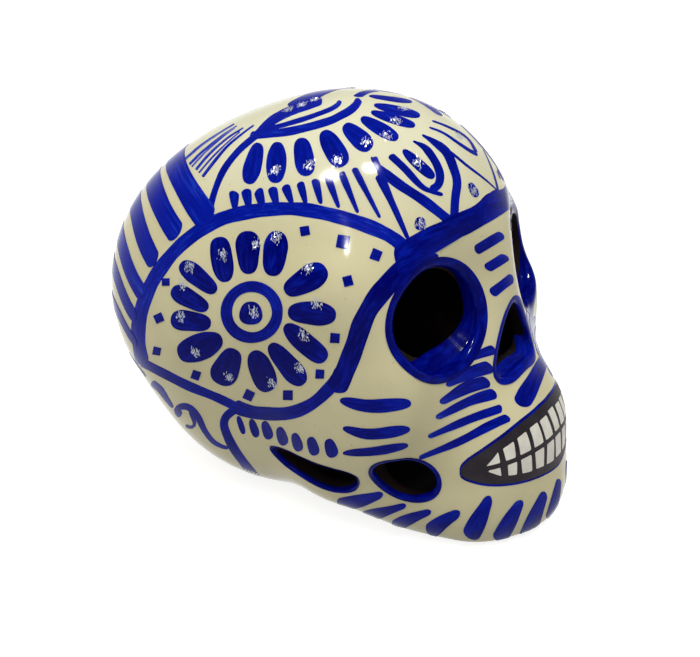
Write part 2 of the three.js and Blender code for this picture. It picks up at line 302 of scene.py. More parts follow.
def outerGap(p):  # the pierced outer skin, standing on its flat foot
    gap = carve(skinGap(p), -p[:, 2], skullForm["footRound"])
    for hole in openings.values():
        gap = carve(gap, -holeGap(p, hole), hole["lipRound"])
    drain = openingForm["drain"]
    bore = np.hypot(p[:, 0], p[:, 1] - drain["y"]) - drain["width"] / 2
    bore = np.maximum(bore, p[:, 2] - 2 * skullForm["floor"])
    return carve(gap, -bore, drain["round"])


def shellGap(p):
    cavity = np.maximum(skinGap(p) + skullForm["wall"], skullForm["floor"] - p[:, 2])
    return carve(outerGap(p), -cavity, skullForm["innerRound"])


def slopeOf(gapOf, p, step=0.05):
    here = gapOf(p)
    slope = np.stack([gapOf(p + step * np.eye(3)[i]) - here for i in range(3)], -1) / step
    return here, slope


def settle(gapOf, p, lift=0.0, passes=4, most=1.0):  # slides points onto a surface; also gives the normals
    for _ in range(passes):
        here, slope = slopeOf(gapOf, p)
        size = np.maximum((slope * slope).sum(-1), 0.05)
        step = slope * ((here - lift) / size)[:, None]
        p = p - step * np.minimum(1, most / np.maximum(lengthOf(step), 1e-9))[:, None]
    return p, unitOf(slopeOf(gapOf, p)[1])


def netSurface(gapOf, low, high, step):  # a quad skin over a distance field, one point for each crossed cell
    axes = [np.arange(a, b + step, step) for a, b in zip(low, high)]
    grid = np.stack(np.meshgrid(*axes, indexing="ij"), -1)
    shape = grid.shape[:3]
    values = gapOf(grid.reshape(-1, 3)).reshape(shape)
    inside = values < 0
    corners = [(i, j, k) for i in (0, 1) for j in (0, 1) for k in (0, 1)]
    part = [slice(None, -1), slice(1, None)]
    count = sum(inside[part[i], part[j], part[k]].astype(np.int8) for i, j, k in corners)
    cells = np.argwhere((count > 0) & (count < 8))
    number = np.full([n - 1 for n in shape], -1)
    number[tuple(cells.T)] = np.arange(len(cells))
    total, hits = np.zeros((len(cells), 3)), np.zeros(len(cells))
    for a in corners:
        for axis in range(3):
            if a[axis]:
                continue
            b = tuple(1 if i == axis else a[i] for i in range(3))
            va, vb = (values[tuple((cells + c).T)] for c in (a, b))
            crossed = (va < 0) != (vb < 0)
            share = np.where(crossed, va / np.where(crossed, va - vb, 1), 0)
            spot = np.array(a) + share[:, None] * np.eye(3)[axis]
            total += np.where(crossed[:, None], spot, 0)
            hits += crossed
    points = np.array(low) + (cells + total / hits[:, None]) * step
    quads = []
    for axis in range(3):
        other = [i for i in range(3) if i != axis]
        first, second = (np.moveaxis(inside, axis, 0)[s] for s in (slice(None, -1), slice(1, None)))
        edges = np.argwhere(first != second)
        leaving = first[tuple(edges.T)]
        base = np.zeros_like(edges)
        base[:, axis] = edges[:, 0]
        base[:, other[0]], base[:, other[1]] = edges[:, 1], edges[:, 2]
        ring = []
        for da, db in ((-1, -1), (0, -1), (0, 0), (-1, 0)):
            cell = base.copy()
            cell[:, other[0]] += da
            cell[:, other[1]] += db
            ring.append(number[tuple(cell.T)])
        ring = np.stack(ring, 1)
        flip = leaving if axis == 1 else ~leaving
        quads.append(np.where(flip[:, None], ring[:, ::-1], ring))
    return points, np.concatenate(quads)


def relax(points, quads, passes):  # evens out the facets
    pairs = np.concatenate([quads[:, [i, (i + 1) % 4]] for i in range(4)])
    pairs = np.concatenate([pairs, pairs[:, ::-1]])
    share = np.bincount(pairs[:, 0], minlength=len(points))
    for _ in range(passes):
        ends = points[pairs[:, 1]]
        mean = np.stack([np.bincount(pairs[:, 0], ends[:, i], len(points)) for i in range(3)], -1)
        points = points + 0.5 * (mean / share[:, None] - points)
    return points


def addPiece(name, points, normals, faces, materials, replaced=()):
    mesh = bpy.data.meshes.new(name)
    mesh.from_pydata((points * mm).tolist(), [], faces)
    if normals is not None:
        mesh.shade_smooth()
        mesh.normals_split_custom_set_from_vertices(normals.tolist())
    for material in materials:
        mesh.materials.append(material)
    piece = newObject(name, mesh)
    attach(piece, "root")
    if replaced:
        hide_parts(*replaced)
    return piece


class Wire:  # a node's socket that can take part in sums
    def __init__(self, tree, socket=None):
        self.tree, self.socket = tree, socket

    def make(self, kind, settings=(), inputs=(), out=0):
        node = self.tree.nodes.new("ShaderNode" + kind)
        for key, value in dict(settings).items():
            setattr(node, key, value)
        for key, value in dict(inputs).items():
            if isinstance(value, Wire):
                self.tree.links.new(value.socket, node.inputs[key])
            else:
                node.inputs[key].default_value = value
        return Wire(self.tree, node.outputs[out] if node.outputs else None)

    def sum(self, operation, *values):
        return self.make("Math", {"operation": operation}, enumerate(values))

    def __add__(self, other):
        return self.sum("ADD", self, other)

    def __mul__(self, other):
        return self.sum("MULTIPLY", self, other)

    def __sub__(self, other):
        return self.sum("SUBTRACT", self, other)

    def __rsub__(self, other):
        return self.sum("SUBTRACT", other, self)

    __radd__, __rmul__ = __add__, __mul__

    def clamp(self):
        return self.make("Clamp", (), {"Value": self})

    def between(self, low, high):  # 0 below low, 1 above high
        return self.make("MapRange", {"interpolation_type": "SMOOTHSTEP"},
                         {"Value": self, "From Min": low, "From Max": high})

    def tint(self, a, b):  # this wire as the share of b in a
        return self.make("Mix", {"data_type": "RGBA"}, {0: self, 6: a, 7: b}, 2)

    def noise(self, scale, detail=3.0, roughness=0.5, where=None):
        return self.make("TexNoise", (), {
            "Vector": where or self.make("TexCoord", out="Object"),
            "Scale": scale, "Detail": detail, "Roughness": roughness})


def rgb(red, green, blue):  # a screen colour as the shader wants it
    flat = [c / 255 for c in (red, green, blue)]
    return tuple(c / 12.92 if c <= 0.04045 else ((c + 0.055) / 1.055) ** 2.4 for c in flat) + (1.0,)


def newMaterial(name):
    material = bpy.data.materials.new(name)
    material.use_nodes = True
    tree = material.node_tree
    tree.nodes.clear()
    return material, Wire(tree)


def finishCoat(material, wire, colour, roughness, specular, bump, metallic=0.0):
    # bump: its height, depth in metres and strength
    normal = wire.make("Bump", (), dict(zip(("Height", "Distance", "Strength"), bump)))
    shader = wire.make("BsdfPrincipled", (), {
        "Base Color": colour, "Roughness": roughness, "Metallic": metallic,
        "Specular IOR Level": specular, "Normal": normal})
    wire.make("OutputMaterial", (), {"Surface": shader})
    return material


creamLook = {"lit": rgb(213, 205, 164), "deep": rgb(204, 196, 154), "speck": rgb(150, 128, 92),
             "crown": rgb(221, 218, 186), "sheenHeight": (0.088, 0.118),  # metres; above this the cream turns whiter toward the top, a painted sheen
             "clouds": (38, 4), "specks": (900, 2, 0.4), "patches": (120, 2),  # noise
             "waves": (70, 2), "pores": (420, 2),
             "roughness": 0.06, "specular": 0.09, "ripple": 0.0001}


def creamGlaze(look):
    material, wire = newMaterial("cream_glaze")
    cloud = wire.noise(*look["clouds"]).between(0.3, 0.72)
    speck = wire.noise(*look["specks"]).between(0.71, 0.76) * wire.noise(*look["patches"]).between(0.45, 0.6)
    height = wire.make("SeparateXYZ", (), {0: wire.make("TexCoord", out="Object")}, "Z")
    colour = cloud.tint(look["lit"], look["deep"])
    # Painted sheen: the cream turns whiter with height over the crown.
    colour = height.between(*look["sheenHeight"]).tint(colour, look["crown"])
    colour = (speck * 0.45).tint(colour, look["speck"])
    ripple = wire.noise(*look["waves"]) + 0.15 * wire.noise(*look["pores"])
    return finishCoat(material, wire, colour, look["roughness"] + 0.06 * cloud, look["specular"],
                      (ripple, look["ripple"], 0.35))


cobaltLook = {"deep": rgb(0, 2, 94), "body": rgb(5, 25, 152), "thin": rgb(24, 54, 176),
              "washed": rgb(146, 152, 194), "roughness": 0.06, "specular": 0.035, "ripple": 0.00008,
              "pull": (0.16, 2.6, 0.01), "streaks": (1.0, 3, 0.6), "pools": (300, 2)}


def cobaltPaint(look):
    material, wire = newMaterial("cobalt_paint")
    brush = wire.make("Attribute", {"attribute_name": "brush"}, out="Vector")
    along, across, load = (wire.make("SeparateXYZ", (), {0: brush}, i) for i in range(3))
    x, y, z = look["pull"]
    hair = wire.make("CombineXYZ", (), {0: along * x, 1: across * y, 2: along * z})
    streak = wire.noise(*look["streaks"], hair)
    pool = wire.noise(*look["pools"])
    hairs = streak.between(0.4, 0.75)
    thin = hairs * 0.26 + pool.between(0.5, 0.8) * 0.1 + (1 - load) * (0.8 + 0.8 * hairs)
    colour = thin.between(-0.05, 0.4).tint(look["deep"], look["body"])
    colour = thin.between(0.4, 0.8).tint(colour, look["thin"])
    colour = thin.between(0.75, 1.3).tint(colour, look["washed"])
    return finishCoat(material, wire, colour, look["roughness"] + 0.08 * streak, look["specular"],
                      (streak, look["ripple"], 0.2))


def plainCoat(name, base, other, scale, roughness, specular, metallic=0.0, ripple=0.0001):
    material, wire = newMaterial(name)
    cloud = wire.noise(scale, 4)
    colour = cloud.between(0.3, 0.7).tint(base, other)
    return finishCoat(material, wire, colour, roughness + 0.15 * cloud, specular,
                      (wire.noise(scale * 4, 3), ripple, 0.4), metallic)


cream = creamGlaze(creamLook)
cobalt = cobaltPaint(cobaltLook)
# Two tones, scale of the cloudiness, roughness, specular, then metallic and ripple in metres.
mouthBlack = plainCoat("mouth_black", rgb(34, 29, 34), rgb(48, 42, 48), 160, 0.4, 0.12)
toothWhite = plainCoat("tooth_white", rgb(232, 228, 216), rgb(219, 213, 200), 220, 0.3, 0.2)
silver = plainCoat("silver_glitter", rgb(228, 231, 238), rgb(186, 192, 206), 900, 0.2, 0.5, 0.35)
# Near black inside the hollow and on the hole walls past the paint: painted shade of the unlit inside.
insideShade = plainCoat("inside_shade", rgb(25, 18, 18), rgb(36, 26, 23), 90, 0.85, 0.05)
footClay = plainCoat("foot_clay", rgb(176, 132, 96), rgb(150, 108, 78), 140, 0.85, 0.2, 0.0, 0.0003)
print("materials made")


def makeShell():
    s = skullForm
    low, high = np.array(cadBox[0]) / mm - s["room"], np.array(cadBox[1]) / mm + s["room"]
    points, quads = netSurface(shellGap, low, high, s["step"])
    for _ in range(2):
        points = relax(points, quads, 2)
        points, normals = settle(shellGap, points, passes=3, most=0.5)
    piece = addPiece("glazed_shell", points, normals, quads.tolist(), [cream, insideShade, footClay],
                     ("face_moulding", "jaw_moulding", "back_moulding"))
    middle = points[quads].mean(1)
    height = middle[:, 2]
    # Faces on the inside and deep in the holes get the near-black painted shade; the flat bottom gets bare
    # clay.
    kind = np.where((skinGap(middle) < -s["glazeDepth"]) & (height > s["shadeFrom"]), 1, 0)
    kind = np.where(height < s["footDepth"], 2, kind)
    piece.data.polygons.foreach_set("material_index", kind.astype(np.int32))
    print("shell:", len(points), "points")


makeShell()
# The seam coils inside the hollow take the same near-black painted shade.
for name in ("back_seam_coil", "jaw_seam_coil"):
    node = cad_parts[name]
    node.data.materials.clear()
    node.data.materials.append(insideShade)


def castToSkin(px):  # where the picture's pixels fall on the skull; just outside it, the nearest edge
    f, v = photoView["focal"], photoView
    away = px - (np.array([v["width"], v["height"]]) / 2 + v["offset"])
    ray = unitOf(away[:, :1] / f * viewRight - away[:, 1:] / f * viewUp - viewBack)
    run = np.full(len(px), v["distance"] - rayForm["start"])
    bestRun, best = run.copy(), np.full(len(px), 1e9)
    for _ in range(rayForm["steps"]):
        gap = skinGap(viewEye + ray * run[:, None])
        closer = np.abs(gap) < best
        best, bestRun = np.where(closer, np.abs(gap), best), np.where(closer, run, bestRun)
        run = run + np.clip(gap * rayForm["pace"], *rayForm["stride"])
    return viewEye + ray * bestRun[:, None]


filmForm = {
    "lift": 0.06, "layers": 0.15, "sink": 0.25,  # mm above the skin, over all marks of a piece, and below it
    "footClear": 1.8,  # mm; films end above the foot's round edge
    "grain": 2.3, "grainOnSkin": 0.4,  # pixels, and its share for marks given in mm
    "cap": 0.36, "thinnest": 0.06,  # rounded end and least width, of the width
    "samples": 40, "capRows": 6, "petalRows": 18, "blockRows": 5,
    "wobble": 0.028, "waves": (0.05, 0.11, 0.19), "slant": 0.35,
    "petal": (2.6, 0.84, 0.16, 1.5),  # roundness; width at the start, what it gains, how fast
    "flick": (0.25, 0.75, 1.3),  # share of the length where it starts to thin, how much, how fast
    "taper": (2.4, 0.2, 0.7),  # widths before it is full, least share, how fast
    "dry": (0.55, 1.5),  # share of the length where the brush runs dry, how fast
    "uneven": 0.06, "streak": (3.3, 40),  # chance in the load; the streaks' length and where they may start
    "mirror": (1.35, 28),  # how a mirror line's shift fades toward the side, mm
}


def halfWidth(run, length, width, style):  # how wide a brush mark is along its length
    if style == "block":
        return np.full(len(run), width / 2)
    if style == "petal":
        share = run / length
        power, least, gain, pace = filmForm["petal"]
        swell = np.maximum(1 - np.abs(2 * share - 1) ** power, 0) ** (1 / power)
        return width / 2 * swell * (least + gain * np.minimum(pace * share, 1))
    cap = min(filmForm["cap"] * width, length / 2)
    start = np.clip((cap - run) / cap, 0, 1)
    end = np.clip((cap - (length - run)) / cap, 0, 1)
    body = width / 2 * np.sqrt(np.maximum(1 - np.maximum(start, end) ** 2, 0))
    if style == "flick":
        begin, loss, power = filmForm["flick"]
        body = body * (1 - loss * np.clip(run / length - begin, 0, 1) ** power)
    if style == "taper":
        full, least, power = filmForm["taper"]
        body = body * np.clip(run / (full * width), least, 1) ** power
    return body


def brushField(along, side, load):  # what the paint's streaks follow; load is how full the brush is
    return np.stack(np.broadcast_arrays(along[:, None], side[None, :], np.reshape(load, (-1, 1))), -1)


def brushMark(points, width, style="band", load=1.0, dry=0.25, closed=False, both=True, axis=0.0):
    film = filmForm
    line = smoothCurve(points, film["samples"], closed)
    grain = film["grain"] * (film["grainOnSkin"] if line.shape[1] == 3 else 1)
    length = lengthOf(np.diff(line, axis=0)).sum()
    if closed:
        rows = int(length / grain)
        run = np.linspace(0, length, rows, endpoint=False)
        line, half = smoothCurve(points, rows, True), np.full(rows, width / 2)
        tangent = np.roll(line, -1, 0) - np.roll(line, 1, 0)
    else:
        cap = min(film["cap"] * width, length / 2)
        bend = cap * (1 - np.cos(np.linspace(0, math.pi / 2, film["capRows"])))
        inner = np.linspace(cap, length - cap, max(int((length - 2 * cap) / grain), 2))[1:-1]
        if style == "petal":
            run = length * (1 - np.cos(np.linspace(0, math.pi, film["petalRows"]))) / 2
        elif style == "block":
            run = np.linspace(0, length, film["blockRows"])
        else:
            run = np.concatenate([bend, inner, length - bend[::-1]])
        dense = np.linspace(0, length, film["samples"])
        line = np.stack([np.interp(run, dense, line[:, i]) for i in range(line.shape[1])], -1)
        half = np.maximum(halfWidth(run, length, width, style), film["thinnest"] * width)
        tangent = np.gradient(line, np.maximum(run, 1e-6) + np.arange(len(run)) * 1e-6, axis=0)
    phase = chance.uniform(0, 6.28, 3)
    waves = sum(np.sin(run * k + a) for k, a in zip(film["waves"], phase))
    half = half * (1 + film["wobble"] * waves)
    slanted = not closed and style in ("band", "flick", "taper")
    slant = chance.uniform(-film["slant"], film["slant"], 2) * slanted
    slant = slant[0] * np.exp(-run / width) + slant[1] * np.exp((run - length) / width)
    cols = max(3, int(width / grain) + 2)
    side = np.linspace(-1, 1, cols)
    begin, power = film["dry"]
    paint = load - dry * np.clip(run / length - begin, 0, 1) ** power - film["uneven"] * chance.random()
    pace, spread = film["streak"]
    return {"line": line, "tangent": tangent, "half": half, "side": side, "slant": slant, "closed": closed,
            "both": both and not axis, "axis": axis,
            "brush": brushField(run / pace + spread * chance.random(), side, paint)}


def pixelGrid(mark):
    run = unitOf(mark["tangent"])
    normal = np.stack([-run[:, 1], run[:, 0]], -1) + run * mark["slant"][:, None]
    return mark["line"][:, None] + normal[:, None] * (mark["half"][:, None] * mark["side"])[..., None]


def skinGrid(mark):  # for marks whose line is given in mm on the skull
    line, normal = settle(outerGap, mark["line"], passes=8, most=4)
    cross = unitOf(np.cross(normal, np.gradient(line, axis=0)))
    return line[:, None] + cross[:, None] * (mark["half"][:, None] * mark["side"])[..., None]


def otherSide(spots, axis):  # mirrored about a line beside the skull's middle, less so toward the side
    turned = spots * [-1, 1, 1]
    full, fade = filmForm["mirror"]
    turned[..., 0] += 2 * axis * np.clip(full + spots[..., 0] / fade, 0, 1)
    return turned


def layFilms(name, marks):  # paints every mark on the skull in blue, as one piece of thin film
    flat = [m for m in marks if m["line"].shape[1] == 2]
    if flat:
        grids = [pixelGrid(m) for m in flat]
        hits = castToSkin(np.concatenate([g.reshape(-1, 2) for g in grids]))
        spots = np.split(hits, np.cumsum([g.shape[0] * g.shape[1] for g in grids])[:-1])
        for m, g, s in zip(flat, grids, spots):
            m["spots"] = s.reshape(g.shape[0], g.shape[1], 3)
    for m in marks:
        if m["line"].shape[1] == 3:
            m["spots"] = skinGrid(m)
    marks = marks + [dict(m, spots=otherSide(m["spots"], m["axis"])) for m in marks if m["axis"]]
    lifts = [filmForm["lift"] + filmForm["layers"] * i / len(marks) for i in range(len(marks))]
    addFilms(name, marks, lifts, cobalt)


def addFilms(name, marks, lifts, material):
    every = np.concatenate([m["spots"].reshape(-1, 3) for m in marks])
    every[:, 2] = np.maximum(every[:, 2], filmForm["footClear"])
    height = np.repeat(lifts, [m["brush"].shape[0] * m["brush"].shape[1] for m in marks])
    top, normal = settle(outerGap, every, height, passes=5, most=1.5)
    low = top - normal * (height + filmForm["sink"])[:, None]
    points, normals, faces, brush, start = [], [], [], [], 0
    for m in marks:
        rows, cols = m["spots"].shape[:2]
        size = rows * cols
        for mirror in ((1, -1) if m["both"] else (1,)):
            base = sum(len(p) for p in points)
            sheet = np.concatenate([top[start:start + size], low[start:start + size]]) * [mirror, 1, 1]
            index = np.arange(size).reshape(rows, cols)
            if m["closed"]:
                index = np.concatenate([index, index[:1]])
            upper = np.stack([index[:-1, :-1], index[:-1, 1:], index[1:, 1:], index[1:, :-1]], -1)
            upper = upper.reshape(-1, 4)
            edges = [index[:, 0], index[:, -1][::-1]]
            if not m["closed"]:
                edges += [index[0][::-1], index[-1]]
            rims = [np.stack([e[:-1], e[1:], e[1:] + size, e[:-1] + size], -1) for e in edges]
            quads = np.concatenate([upper, upper[:, ::-1] + size] + rims)
            a, b, c = (sheet[upper[:, i]] for i in range(3))
            facing = (np.cross(b - a, c - b) * normal[start + upper[:, 0]] * [mirror, 1, 1]).sum()
            faces.append((quads if facing > 0 else quads[:, ::-1]) + base)
            points.append(sheet)
            normals.append(np.tile(normal[start:start + size] * [mirror, 1, 1], (2, 1)))
            brush.append(np.tile(m["brush"].reshape(-1, 3), (2, 1)))
        start += size
    points, normals, faces = (np.concatenate(parts) for parts in (points, normals, faces))
    piece = addPiece(name, points, normals, faces.tolist(), [material])
    data = piece.data.attributes.new("brush", "FLOAT_VECTOR", "POINT")
    data.data.foreach_set("vector", np.concatenate(brush).astype(np.float32).ravel())
    print(name + ":", len(marks), "marks,", len(faces), "faces")


# Blue linings of the openings: from just outside the lip, over its round, down the flared wall.
liningForm = {
    "rows": 13, "points": 130, "lift": 0.16, "streaks": 90,
    "lipRows": (0, 0.35, 0.7),  # over the lip's round, in shares of the inset
    "rise": 0.7,  # how fast the paint gets deeper toward its sides
}


def liningMark(hole):
    form = liningForm
    outline = smoothCurve(hole["outline"], form["points"], closed=True)
    run = np.roll(outline, -1, 0) - np.roll(outline, 1, 0)
    outward = unitOf(np.stack([run[:, 1], -run[:, 0]], -1))
    outward = outward * np.sign((outward * outline).sum())

    def inPlane(flat, depth):
        return (hole["place"] + flat[:, :1] * hole["across"] + flat[:, 1:] * hole["up"]
                - np.asarray(depth)[:, None] * hole["axis"])

    reach = np.full(len(outline), openingForm["reach"])
    skin = exitAlong(inPlane(outline, reach), np.tile(hole["axis"], (len(outline), 1)))
    edge = -((skin - hole["place"]) @ hole["axis"])
    # Deeper than this reach, the wall is left to the near-black painted shade.
    shallow, most = hole["paint"]
    toward = sum(np.clip(outward @ np.array(way), 0, 1) ** 2 for way in hole["paintWays"])
    reach = shallow + (most - shallow) * np.minimum(toward, 1) ** form["rise"]
    columns = []
    for part in form["lipRows"]:
        columns.append(inPlane(outline + outward * (hole["margin"] - part * hole["inset"]), edge))
    for part in np.linspace(0, 1, form["rows"]):
        deep = edge + part * reach
        share = deepening(deep)[:, None]
        columns.append(inPlane(outline - outward * narrowing(hole, share) + share * hole["drift"], deep))
    spots = np.stack(columns, 1)
    run = np.linspace(0, form["streaks"], len(outline), endpoint=False)
    brush = brushField(run, np.linspace(-1, 1, spots.shape[1]), hole["load"])
    return {"spots": spots, "closed": True, "both": hole["paired"], "brush": brush}


liningMarks = [liningMark(hole) for hole in openings.values()]
addFilms("opening_linings", liningMarks, [liningForm["lift"]] * len(liningMarks), cobalt)


def strokes(rows, *look, **more):  # a mark for each row: line, width and perhaps style
    return [brushMark(*row, *look, **more) for row in rows]


# The panel on each side: its band, the flower and the small squares round it. Pixels.
sidePanel = {
    "bands": [  # line, width, load of paint
        ([(143, 364), (139, 344), (139, 322), (145, 299), (157, 274), (180, 246), (212, 223), (243, 213),
          (275, 209), (307, 210), (350, 220), (386, 234), (405, 248), (417, 262)], 14, 0.76),
        ([(140, 361), (166, 374.5), (189, 386), (216, 397), (238, 407.5)], 9, 0.85),
        ([(234, 405.5), (245, 410), (260, 413), (289, 413), (313, 403), (334, 383), (342, 368)], 13, 0.85),
        ([(424, 250), (400, 272), (378, 296), (364, 319), (354, 348), (344, 373), (334, 392)], 20, 1.05),
    ],
    "petals": [
        ([(226, 282), (222, 260), (219, 237)], 22), ([(249, 274), (248, 252), (248, 231)], 23),
        ([(272, 276), (275, 254), (278, 231)], 23), ([(285, 292), (305, 281), (326, 268)], 24),
        ([(288, 312), (312, 313), (336, 316)], 22), ([(285, 325), (305, 343), (326, 360)], 20),
        ([(270, 344), (287, 364), (304, 384)], 20), ([(253, 351), (262, 371), (270, 391)], 22),
        ([(235, 349), (227, 367), (219, 384)], 26), ([(222, 338), (200, 347), (178, 354)], 26),
        ([(211, 324), (190, 321), (171, 319)], 20), ([(208, 309), (190, 299), (172, 289)], 18),
        ([(216, 292), (198, 277), (181, 263)], 18),
    ],
    "plump": 1.08,
    "ring": {"centre": (252, 312), "radius": 25.5, "width": 11},
    "dot": ([(251, 301.5), (251, 324.5)], 23),
    "squares": [(305, 231, 10), (343, 242, 13), (376, 255, 11), (348, 281, 10), (335, 338, 10), (320, 374, 9),
                (288, 395, 10), (249, 395, 10), (196, 375, 9), (157, 351, 8), (159, 318, 9), (166, 282, 8)],
    "square": (0.47, 0.97, 0.5),  # half length and width, of the size given; most turn in radians
}


def squareMark(x, y, size):
    half, width, most = sidePanel["square"]
    turn, middle = chance.uniform(-most, most), np.array([x, y])
    along = np.array([math.cos(turn), math.sin(turn)]) * half * size
    return brushMark([middle - along, middle + along], width * size, "block", load=0.9, dry=0.1)


def sideMarks(form):
    marks = [brushMark(points, width, load=load) for points, width, load in form["bands"]]
    for points, width in form["petals"]:
        marks.append(brushMark(points, form["plump"] * width, "petal", dry=0.35))
    ring = form["ring"]
    turn = np.linspace(0, 2 * math.pi, 16, endpoint=False)
    circle = np.array(ring["centre"]) + ring["radius"] * np.stack([np.cos(turn), np.sin(turn)], -1)
    marks.append(brushMark(circle, ring["width"], load=0.88, closed=True))
    marks.append(brushMark(*form["dot"], "petal"))
    return marks + [squareMark(*square) for square in form["squares"]]


layFilms("side_panels", sideMarks(sidePanel))


# Crown: half flower with its arcs, petals and dashes, and the line that closes it off behind. Pixels.
crownForm = {
    "axis": 5.7,  # mm; the dashes keep clear of the forehead's mirrored strokes
    "line": ([(209, 218), (213, 197), (223, 171.5), (238.5, 151), (259, 133), (277, 115)], 6.6),
    "arcs": [([(250, 135.5), (270, 134), (290, 131.3), (310, 126.7), (330, 120.8), (340, 116), (350, 110.5),
               (357, 104), (359, 98.5)], 8, "band"),
             ([(264, 129.5), (278, 126.5), (290, 123.2), (310, 117), (330, 109.5), (338, 104.5),
               (340, 100.5)], 4.8, "band"),
             ([(254, 134), (268, 123.5), (280, 116), (292, 110.5), (308, 105), (322, 99.5)], 9.5, "taper")],
    "top": [([(-14, 6, 122.3), (0, 5, 124.6), (14, 6, 122.3)], 9),  # mm
            ([(-5.6, -10.3, 124.3), (0, -9.8, 124.6), (5.6, -10.3, 124.3)], 3)],
    "petals": [([(259, 143), (248, 184)], 18), ([(278, 142), (275, 183)], 20), ([(301, 138), (307, 176)], 21),
               ([(323, 131), (344, 166)], 22), ([(344, 125), (371, 149)], 19), ([(361, 118), (398, 139)], 14),
               ([(371, 112), (415, 126)], 10)],
    "front": [([(374, 105), (420, 116)], 9), ([(369, 96), (412, 102)], 5)],
    "dashes": [([(234, 191), (235, 210)], 10), ([(246, 189), (249, 209)], 10), ([(258, 189), (263, 208)], 10),
               ([(272, 187), (277, 206)], 10), ([(285, 185), (292, 204)], 9), ([(300, 182), (306, 204)], 8),
               ([(315, 179), (321, 204)], 8), ([(327, 175), (339, 208)], 7.5), ([(341, 172), (358, 213)], 7),
               ([(354, 168), (380, 218)], 6.5), ([(374, 157), (400, 220)], 6)],
    "fan": [([(202.6, 177), (215, 161), (228, 146), (243.6, 133), (254, 125.4)], 2.8, 0.5),
            ([(196, 170), (210, 153.6), (228, 138), (243.6, 128)], 2.4, 0.4),
            ([(189.5, 164.5), (204, 150.5), (221.5, 136.6), (237, 126)], 2.2, 0.32),
            ([(184.5, 160), (200, 146.5), (217.5, 134.5), (234.5, 124)], 2.2, 0.26),
            ([(199, 173), (213, 157), (229, 141.5), (240, 132)], 1.5, 0.34),
            ([(192, 167), (206, 152), (223, 137), (235, 128)], 1.5, 0.26)],
}


def crownMarks(form):
    marks = [brushMark(*form["line"], load=0.8)]
    marks += strokes(form["arcs"], load=0.72)
    marks += strokes(form["top"], load=0.75, both=False)
    marks += strokes(form["petals"], "petal", load=0.82, dry=0.3)
    marks += strokes(form["front"], "petal", load=0.8, both=False)
    marks += strokes(form["dashes"], "flick", load=0.8, axis=form["axis"])
    return marks + [brushMark(points, width, "flick", load) for points, width, load in form["fan"]]


layFilms("crown_ornament", crownMarks(crownForm))


# Forehead: the drop motif, the chevrons and the brow band that runs into the panel. Pixels.
foreheadForm = {
    "axis": 5.7,  # mm; the drop motif's mirror line runs beside the skull's
    "strokes": [
        ([(371, 157), (380, 169), (400, 185), (425, 201.5), (451, 222)], 10, "taper"),
        ([(378, 175), (392, 203), (408, 239)], 8, "flick"),
        ([(390, 155), (404, 168), (421, 186), (432, 191.5), (443, 195)], 7.5, "flick"),
        ([(403, 150), (417, 163), (434, 178)], 11, "petal"),
        ([(413, 141), (425, 148), (435, 161.5), (440, 175), (438, 185), (431, 190)], 8, "taper"),
        ([(422, 135), (433, 141.5), (446, 152), (453, 167), (457, 182), (455, 200),
          (454, 222)], 8.6, "taper"),
        ([(469.5, 183), (477, 197)], 8, "petal"), ([(420, 217), (420, 230)], 11, "petal"),
    ],
    "brow": [([(396, 263), (407, 253), (425, 241), (447, 231), (476, 217), (490, 208), (502, 198),
               (508, 192)], 23, "band"),
             ([(398, 272), (416, 262), (438, 255)], 14, "flick")],
    "middle": [([(446, 149), (466, 165), (483, 178), (498, 191.5)], 1.1, 0.8),  # widths in mm
               ([(477, 154), (470, 151), (458, 143), (443, 133), (429, 127.5)], 1.8, 0.74),
               ([(476, 152), (467, 138), (450, 128), (432, 121)], 1.9, 0.74),
               ([(498, 191.5), (491, 167), (483, 150)], 1.2, 0.8), ([(497, 171), (500, 179)], 1.2, 0.6)],
}


def foreheadMarks(form):
    marks = strokes(form["strokes"], load=0.85, axis=form["axis"]) + strokes(form["brow"], load=0.93)
    for points, width, load in form["middle"]:
        marks.append(brushMark(castToSkin(np.array(points)), width, "flick", load, dry=0.5, both=False))
    return marks


layFilms("forehead_ornament", foreheadMarks(foreheadForm))


# Cheeks, nose sides and jaw. Pixels.
faceForm = {
    "nose": [([(475, 251), (503, 234)], 10), ([(486, 269), (507, 256)], 10), ([(491, 294), (513, 277)], 10)],
    "axis": 4,  # mm; the strokes beside the nose
    "cheek": [([(495, 349), (483, 353), (468, 360)], 10), ([(492, 366), (470, 373), (446, 385)], 13),
              ([(489, 381), (466, 388), (440, 403)], 13), ([(496, 393), (470, 401), (436, 418)], 11),
              ([(502, 408), (470, 419), (428, 437)], 9),
              ([(509, 417), (489, 426), (458, 442), (419, 458)], 9)],
    "bars": [([(340, 400), (370, 406), (411, 403)], 14), ([(343, 428), (370, 434), (410, 429)], 12),
             ([(343, 453), (375, 451), (408, 445)], 9)],
    "lip": ([(520, 406), (527, 393), (535, 378), (542, 362), (545, 353)], 18),
    "jaw": [([(338, 505), (363, 500), (383, 494)], 14), ([(363, 517), (383, 512), (406, 505)], 11),
            ([(392, 527), (412, 518), (431, 511)], 12), ([(428, 533), (444, 521), (460, 512)], 15),
            ([(469, 538), (481, 515), (490, 496)], 18), ([(498, 541), (511, 518), (521, 500)], 16),
            ([(525, 540), (535, 516), (545, 492)], 15)],
    "chin": ([(549, 520), (555, 499), (559, 479)], 9),
}


def faceMarks(form):
    marks = strokes(form["nose"], load=0.85, dry=0.4, axis=form["axis"])
    marks += strokes(form["cheek"], "flick", load=0.84, dry=1.1)
    marks += strokes(form["bars"], "petal", load=0.88, dry=0.5)
    marks.append(brushMark(*form["lip"], "flick", load=0.9, both=False))
    marks += strokes(form["jaw"], "flick", load=0.88, dry=0.8)
    return marks + [brushMark(*form["chin"], "flick", load=0.88, both=False)]


layFilms("face_ornament", faceMarks(faceForm))


